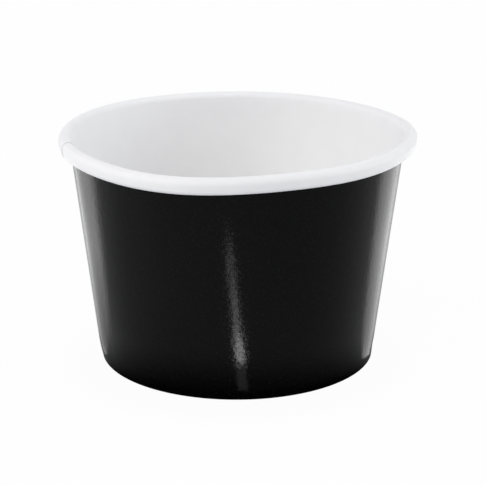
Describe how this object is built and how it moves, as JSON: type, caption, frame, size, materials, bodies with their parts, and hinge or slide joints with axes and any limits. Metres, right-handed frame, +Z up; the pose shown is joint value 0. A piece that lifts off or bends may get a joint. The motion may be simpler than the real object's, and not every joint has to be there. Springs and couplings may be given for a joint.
{
  "type": "paper dessert cup",
  "caption": "Round tapered paper cup for ice cream or dessert, black outside and white inside, with a rolled rim, a lapped side seam and a recessed base.",
  "frame": {"origin": "centre of the foot, on the table", "axes": "+Z up along the cup's axis; the inner layer's edge at the side seam lies at 196 degrees from +X, counted anticlockwise from above"},
  "size_m": [0.0938, 0.0938, 0.061],
  "materials": {
    "wall_board": "coated board, printed black with a satin sheen on its outer side and plain white on its inner side and on the rolled rim",
    "base_board": "plain white coated board with a soft satin sheen"
  },
  "bodies": {
    "root": {"cup_wall": "wall_board", "base_disc": "base_board"}
  },
  "joints": []
}
